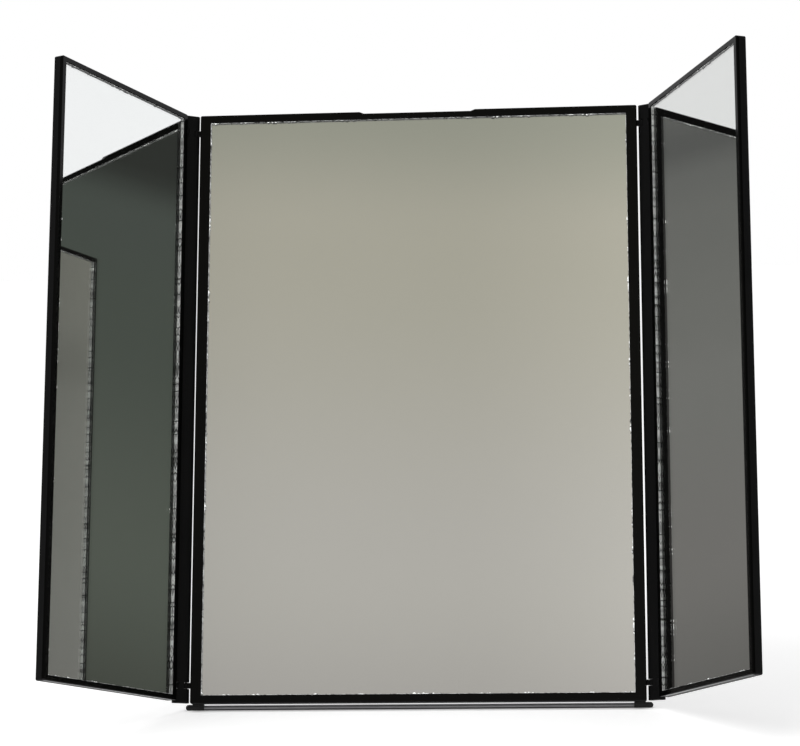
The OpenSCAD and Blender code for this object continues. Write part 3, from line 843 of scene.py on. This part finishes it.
leg, low = STAND_W / 2, BEND_R - STAND_LEN
corner_x = leg - BEND_R
half_path = np.concatenate([
    [[STUB_X, 0, 0]], straight((STUB_X, 0, 0), (corner_x, 0, 0), 6),
    arc(corner_x, -BEND_R, 90, 0), straight((leg, 0, -BEND_R), (leg, 0, low), 40),
    arc(corner_x, low, 0, -90), straight((corner_x, 0, -STAND_LEN), (0, 0, -STAND_LEN), 40),
])
wire_path = np.concatenate([half_path, [[0, 0, -STAND_LEN]], half_path[::-1] * (-1, 1, 1)])
wire = tube_surface(wire_path, WIRE_R, sides=28, end_round=0.3)
piece("stand_bent_wire", wire, ON_STAND, "stand", wire_steel, ["stand_wire"])


def sleeve_surface(side):
    """Rubber sleeve along X with shallow ribs: r - d (1 - cos(2 pi s / pitch)) / 2 over its length."""
    x = np.linspace(SLEEVE_END - SLEEVE_LEN, SLEEVE_END, 61)
    ribs = RIB_DEPTH * (0.5 - 0.5 * np.cos(2 * math.pi * (x - x[0]) / RIB_PITCH))
    path = np.stack([side * x, np.zeros(len(x)), np.full(len(x), -STAND_LEN)], axis=-1)
    return tube_surface(path, SLEEVE_R - ribs, sides=36, end_round=0.45)


both_sleeves = joined(sleeve_surface(-1), sleeve_surface(1))
sleeves = piece("rubber_sleeves", both_sleeves, ON_STAND, "stand", rubber, ["stand_sleeves"])


def flatten_at_table(obj):
    """Points below the table move up to it, Z = 0, which makes the worn flat."""
    co = np.empty(len(obj.data.vertices) * 3, np.float32)
    obj.data.vertices.foreach_get("co", co)
    co = co.reshape(-1, 3)
    co[:, 2] = np.maximum(co[:, 2], 0.0)
    obj.data.vertices.foreach_set("co", co.ravel())
    obj.data.update()


flatten_at_table(sleeves)
print("wire length, mm:", round(float(np.linalg.norm(np.diff(wire_path, axis=0), axis=1).sum()), 1))

# %% [markdown]
# A straight satin steel bar under the middle panel joins the two feet. It is the lowest thing the
# camera sees, a thin grey line between two black ends. A strip of black rubber along its underside,
# from foot to foot, is painted shade: it darkens the lower side of the bar. The strip's section is a
# slice of a ring, carried along X.

# %% Foot bar and the black strip of painted shade under it
BAR_Y, BAR_DROP, BAR_R, FOOT_START, BAR_SINK = 6.6, 1.2, 1.0, 94.5, 0.2
STRIP_OUT, STRIP_SPREAD, STRIP_STEPS = 0.12, math.radians(50), 12
bar_end = FOOT_START + BAR_SINK
bar_path = np.linspace((-bar_end, BAR_Y, -BAR_DROP), (bar_end, BAR_Y, -BAR_DROP), 60)
bar = tube_surface(bar_path, BAR_R, sides=28, end_round=0.1)
piece("foot_bar_rod", bar, ON_PANEL, "centre_panel", bar_steel, ["foot_bar"])


def shade_strip_surface():
    """Slice of a ring about the bar, STRIP_OUT to both sides of its radius, centred on straight down."""
    a = math.radians(LEAN) + np.linspace(-STRIP_SPREAD, STRIP_SPREAD, STRIP_STEPS)
    turn = np.concatenate([a, a[::-1]])
    r = np.repeat([BAR_R + STRIP_OUT, BAR_R - STRIP_OUT], STRIP_STEPS)
    section = np.stack([0 * r, BAR_Y + r * np.sin(turn), -BAR_DROP - r * np.cos(turn)], axis=-1)
    ends = np.array([-bar_end, bar_end])
    return lofted(section + ends[:, None, None] * np.array([1.0, 0.0, 0.0]))


# The black strip is painted shade along the lower side of the bar
painted_shade_strip = piece("foot_bar_painted_shade_strip", shade_strip_surface(), ON_PANEL, "centre_panel", rubber)
flatten_at_table(painted_shade_strip)
print("foot bar, mm:", round(2 * FOOT_START, 1))

# %% [markdown]
# Links, brackets, feet, pins and screws already have the right shape in the CAD model. Its meshes
# are loose triangles with hard edges, though. A copy is merged into one skin, its flat faces are
# put together again, and a narrow bevel rounds its edges, because no moulded or turned edge is
# ever perfectly sharp and the thin highlight along it is what makes it look real.

# %% Rounded copies of the small parts
MERGE = 0.000002
FLAT_ANGLE, BEVEL_ANGLE = math.radians(0.5), math.radians(35)
LINK_EDGE, BRACKET_EDGE, FOOT_EDGE, PIN_EDGE = 0.12, 0.25, 0.12, 0.05


def rounded_copy(node, name, body, material, width):
    """Copy of a CAD node in its place, merged, with a bevel of the given width in millimetres."""
    work = bmesh.new()
    work.from_mesh(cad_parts[node].data)
    bmesh.ops.remove_doubles(work, verts=work.verts, dist=MERGE)
    bmesh.ops.dissolve_limit(work, angle_limit=FLAT_ANGLE, verts=work.verts, edges=work.edges)
    mesh = bpy.data.meshes.new(name)
    work.to_mesh(mesh)
    work.free()
    obj = finished(name, mesh, body, material, [node])
    bevel = obj.modifiers.new("edge", "BEVEL")
    bevel.width = width * MM
    bevel.segments = 2
    bevel.limit_method = "ANGLE"
    bevel.angle_limit = BEVEL_ANGLE
    bevel.harden_normals = True


panel = "centre_panel"
for side in SIDES:
    link = f"{side}_link"
    rounded_copy(link, f"hinge_link_{side}", link, satin_black, LINK_EDGE)
    rounded_copy(f"{side}_stand_bracket", f"bracket_{side}", panel, satin_black,
                 BRACKET_EDGE)
    rounded_copy(f"{side}_foot", f"foot_{side}", panel, rubber, FOOT_EDGE)
    rounded_copy(f"{side}_frame_pins", f"inner_pins_{side}", link, zinc, PIN_EDGE)
    rounded_copy(f"{side}_wing_pins", f"outer_pins_{side}", link, zinc, PIN_EDGE)
rounded_copy("bracket_screws", "screws_of_brackets", panel, zinc, PIN_EDGE)
rounded_copy("foot_screws", "screws_of_feet", panel, zinc, PIN_EDGE)
print("rounded copies:", 12)

# %% [markdown]
# The mounting tape lies between glass and tray. It stays the CAD solid, which is exactly what a
# strip of tape is, and takes a foam finish.

# %% Mounting tape
for node in ("centre_tape", "left_wing_tape", "right_wing_tape"):
    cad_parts[node].data.materials.clear()
    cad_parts[node].data.materials.append(foam)
print("tape nodes:", 3)

# %% [markdown]
# The photograph was taken with a long lens from a little over a metre away, slightly to the right
# of the middle. The camera stood some 22 centimetres above the table and looked a little down. Its
# place and directions are given in the leaning panel's frame, and they go through the same matrix
# as the panel.

# %% Camera
# Picture width, focal length and the lens axis's place in pixels, sensor width in millimetres
IMAGE_W = 800
FOCAL_PX, CENTRE_PX, SENSOR = 2710.6, 399.2, 36.0
CAMERA_AT = Vector((99.4, -1180.5, -114.9))
FORWARD = Vector((-0.0884, 0.9724, 0.2158)).normalized()
RIGHT = Vector((0.9959, 0.0901, 0.0021))

camera = added("camera", bpy.data.cameras.new("camera"))
camera.data.sensor_width = SENSOR
camera.data.lens = FOCAL_PX / IMAGE_W * SENSOR
camera.data.shift_x = (IMAGE_W / 2 - CENTRE_PX) / IMAGE_W
rotation = ON_PANEL.to_3x3()
ahead = (rotation @ FORWARD).normalized()
right = rotation @ RIGHT
right = (right - ahead * right.dot(ahead)).normalized()
up = right.cross(ahead)
camera_place = Matrix((right, up, -ahead)).transposed().to_4x4()
camera_place.translation = (ON_PANEL @ CAMERA_AT) * MM
camera.matrix_world = camera_place
camera.data.clip_start, camera.data.clip_end = 0.05, 60.0
bpy.context.scene.camera = camera
print("camera at, m:", [round(c, 4) for c in camera_place.translation])
print("lens, mm:", round(camera.data.lens, 1))

# %% [markdown]
# The floor is pale and matt, and one large soft lamp gives the object its shadow. The floor adds a
# glow of its own for every ray that is seen, so that it reads as white as the background. The glow
# fades within a few millimetres of whatever stands on the floor, which keeps the shade of contact.

# %% Floor and lamp
FLOOR_HALF, FLOOR_TONE, FLOOR_ROUGH = 8.0, 0.8, 0.7
FLOOR_GLOW, SHADE_REACH, SHADE_SAMPLES = 0.45, 0.004, 8
LAMP_AT, LAMP_TARGET, LAMP_SIZE, LAMP_WATTS = (-0.7, -0.9, 1.5), (0.0, 0.0, 0.15), 1.4, 16.0


def seen_ray(nodes, links):
    """1 for camera, glossy and transmission rays, from Light Path."""
    path = nodes.new("ShaderNodeLightPath")
    total = path.outputs["Is Camera Ray"]
    for name in ("Is Glossy Ray", "Is Transmission Ray"):
        total = calculate(nodes, links, "MAXIMUM", total, path.outputs[name])
    return total


def floor_material():
    """Pale matt floor with a glow that only seen rays pick up, less the shade close under the object."""
    material, nodes, links, bsdf = new_nodes("pale_floor")
    bsdf.inputs["Base Color"].default_value = (FLOOR_TONE, FLOOR_TONE, FLOOR_TONE, 1)
    bsdf.inputs["Roughness"].default_value = FLOOR_ROUGH
    bsdf.inputs["Emission Color"].default_value = (1, 1, 1, 1)
    open_sky = nodes.new("ShaderNodeAmbientOcclusion")
    open_sky.samples = SHADE_SAMPLES
    open_sky.inputs["Distance"].default_value = SHADE_REACH
    glow = calculate(nodes, links, "MULTIPLY", seen_ray(nodes, links), FLOOR_GLOW)
    lit = calculate(nodes, links, "MULTIPLY", glow, open_sky.outputs["AO"])
    links.new(lit, bsdf.inputs["Emission Strength"])
    return material


floor_mesh = bpy.data.meshes.new("floor")
corners = [(x * FLOOR_HALF, y * FLOOR_HALF, 0) for x, y in ((-1, -1), (1, -1), (1, 1), (-1, 1))]
floor_mesh.from_pydata(corners, [], [(0, 1, 2, 3)])
floor_mesh.materials.append(floor_material())
floor = added("floor", floor_mesh)
floor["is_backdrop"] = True

lamp = added("soft_lamp", bpy.data.lights.new("soft_lamp", "AREA"))
lamp.data.shape = "DISK"
lamp.data.size = LAMP_SIZE
lamp.data.energy = LAMP_WATTS
lamp.location = LAMP_AT
lamp.rotation_euler = (Vector(LAMP_AT) - Vector(LAMP_TARGET)).to_track_quat("Z", "Y").to_euler()
lamp.visible_glossy = False
lamp.visible_transmission = False
print("floor glow:", FLOOR_GLOW, "lamp, W:", LAMP_WATTS)

# %% [markdown]
# A mirror shows the room in front of it, so the room matters more here than for any other object.
# The world has two jobs. Matt surfaces get one even level from all sides. Rays that are seen, in
# the mirrors and in the gloss of the plastic, meet a simple studio instead: a warm grey wall in
# front, brightest some 25 degrees above the horizon, a dark green-grey side on the right, a
# neutral grey side on the left, and the pale backdrop behind. Each tone is a ramp over the height
# of the direction, and smooth steps over its sideways part blend them. The sides are where the
# wings look after a second reflection in the centre mirror, so they set the tone of the wings.
# Straight to the camera all is white.

# %% World
WORLD_DIFFUSE = 0.68

# Tones as (height of the direction, colour)
WALL_FRONT = [(0.0, (0.22, 0.22, 0.22)), (0.33, (0.36, 0.34, 0.33)), (0.41, (0.46, 0.44, 0.41)),
              (0.52, (0.41, 0.39, 0.33)), (0.56, (0.31, 0.31, 0.26)), (1.0, (0.45, 0.45, 0.44))]
WALL_RIGHT = [(0.2, (0.054, 0.056, 0.048)), (0.28, (0.098, 0.108, 0.093)), (0.36, (0.074, 0.084, 0.073)),
              (0.395, (0.072, 0.081, 0.073)), (0.41, (0.034, 0.036, 0.033)), (1.0, (0.12, 0.12, 0.12))]
WALL_LEFT = [(0.05, (0.08, 0.08, 0.08)), (0.275, (0.14, 0.134, 0.13)), (0.33, (0.188, 0.178, 0.174)),
             (0.39, (0.186, 0.182, 0.176)), (0.41, (0.175, 0.172, 0.165)),
             (0.443, (0.161, 0.159, 0.153)), (0.456, (0.147, 0.146, 0.142)),
             (0.466, (0.108, 0.108, 0.106)), (0.485, (0.15, 0.148, 0.144)), (1.0, (0.2, 0.2, 0.2))]
BACKDROP_LEFT, BACKDROP_RIGHT = (0.78, 0.78, 0.785), (0.95, 0.95, 0.97)

# Parts of the direction, sideways or backward, between which one tone passes into the next
TO_BRIGHTER, BRIGHTER = (-0.07, 0.03), 1.2
TO_LEFT, TO_RIGHT = (-0.12, -0.345), (0.15, 0.7)
TO_BACKDROP, ALONG_BACKDROP = (-0.3, 0.1), (-0.5, 0.5)


def world_nodes(world):
    """World: a plain level for diffuse rays, white for the camera, the studio for other seen rays."""
    nodes, links = world.node_tree.nodes, world.node_tree.links

    def share(source, span, low=0.0, high=1.0):
        """Smooth step from low to high over a span of one part of the direction."""
        return map_range(nodes, links, source, *span, low, high, smooth=True)

    background = nodes["Background"]
    direction = nodes.new("ShaderNodeTexCoord").outputs["Generated"]
    parts = nodes.new("ShaderNodeSeparateXYZ")
    links.new(direction, parts.inputs[0])
    x, y, z = (parts.outputs[axis] for axis in "XYZ")
    front, right, left = (ramp(nodes, links, z, stops) for stops in (WALL_FRONT, WALL_RIGHT, WALL_LEFT))
    brighter = nodes.new("ShaderNodeVectorMath")
    brighter.operation = "SCALE"
    links.new(front, brighter.inputs[0])
    links.new(share(x, TO_BRIGHTER, 1.0, BRIGHTER), brighter.inputs["Scale"])
    room = blend_colours(nodes, links, share(x, TO_LEFT), brighter.outputs["Vector"], left)
    room = blend_colours(nodes, links, share(x, TO_RIGHT), room, right)
    backdrop = blend_colours(nodes, links, share(x, ALONG_BACKDROP), BACKDROP_LEFT, BACKDROP_RIGHT)
    studio = blend_colours(nodes, links, share(y, TO_BACKDROP), room, backdrop)
    path = nodes.new("ShaderNodeLightPath")
    seen = blend_colours(nodes, links, path.outputs["Is Camera Ray"], studio, (1.0, 1.0, 1.0))
    level = (WORLD_DIFFUSE,) * 3
    colour = blend_colours(nodes, links, seen_ray(nodes, links), level, seen)
    links.new(colour, background.inputs["Color"])
    background.inputs["Strength"].default_value = 1.0


studio_world = bpy.data.worlds.new("studio")
studio_world.use_nodes = True
bpy.context.scene.world = studio_world
world_nodes(studio_world)
bpy.context.scene.view_settings.view_transform = "Standard"
print("world level:", WORLD_DIFFUSE)

# %% [markdown]
# The box of the finished mirror is set beside the CAD model's own, and both are kept.

# %% Box of the finished mirror
visual_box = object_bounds()
for title, box in (("CAD box:", cad_box), ("visual box:", visual_box)):
    print(title, [[round(v, 4) for v in corner] for corner in box])
